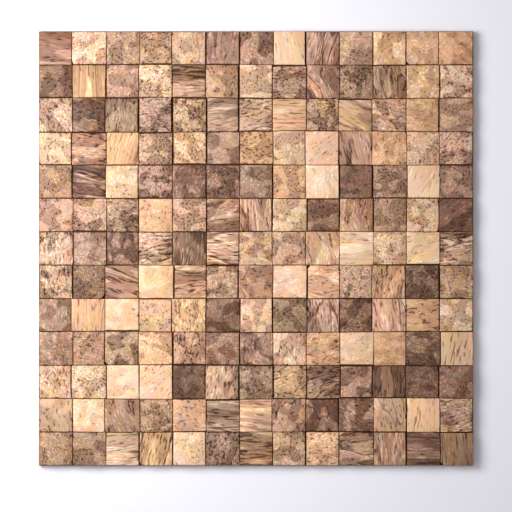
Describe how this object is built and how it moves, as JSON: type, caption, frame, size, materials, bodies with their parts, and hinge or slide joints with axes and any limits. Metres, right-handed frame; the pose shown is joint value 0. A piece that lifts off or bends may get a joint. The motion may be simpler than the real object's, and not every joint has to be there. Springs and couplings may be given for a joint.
{
  "type": "laminated coconut-shell mosaic panel",
  "caption": "Square decorative panel of hand-sawn, slightly domed coconut-shell chips laid in straight rows and glued to a thin flat fibreboard, for facing walls and furniture.",
  "frame": {"origin": "centre of the board's back face", "axes": "+Z out of the chip face, +X along the rows of chips, +Y across them"},
  "size_m": [0.3, 0.3, 0.0094],
  "materials": {
    "fibreboard": "matte",
    "cream_shell": "satin",
    "straw_shell": "satin",
    "honey_shell": "satin",
    "tan_shell": "satin",
    "hazel_shell": "satin",
    "taupe_shell": "satin",
    "umber_shell": "satin"
  },
  "bodies": {
    "root": {"backing_board": "fibreboard", "cream_chips": "cream_shell", "straw_chips": "straw_shell", "honey_chips": "honey_shell", "tan_chips": "tan_shell", "hazel_chips": "hazel_shell", "taupe_chips": "taupe_shell", "umber_chips": "umber_shell"}
  },
  "joints": []
}
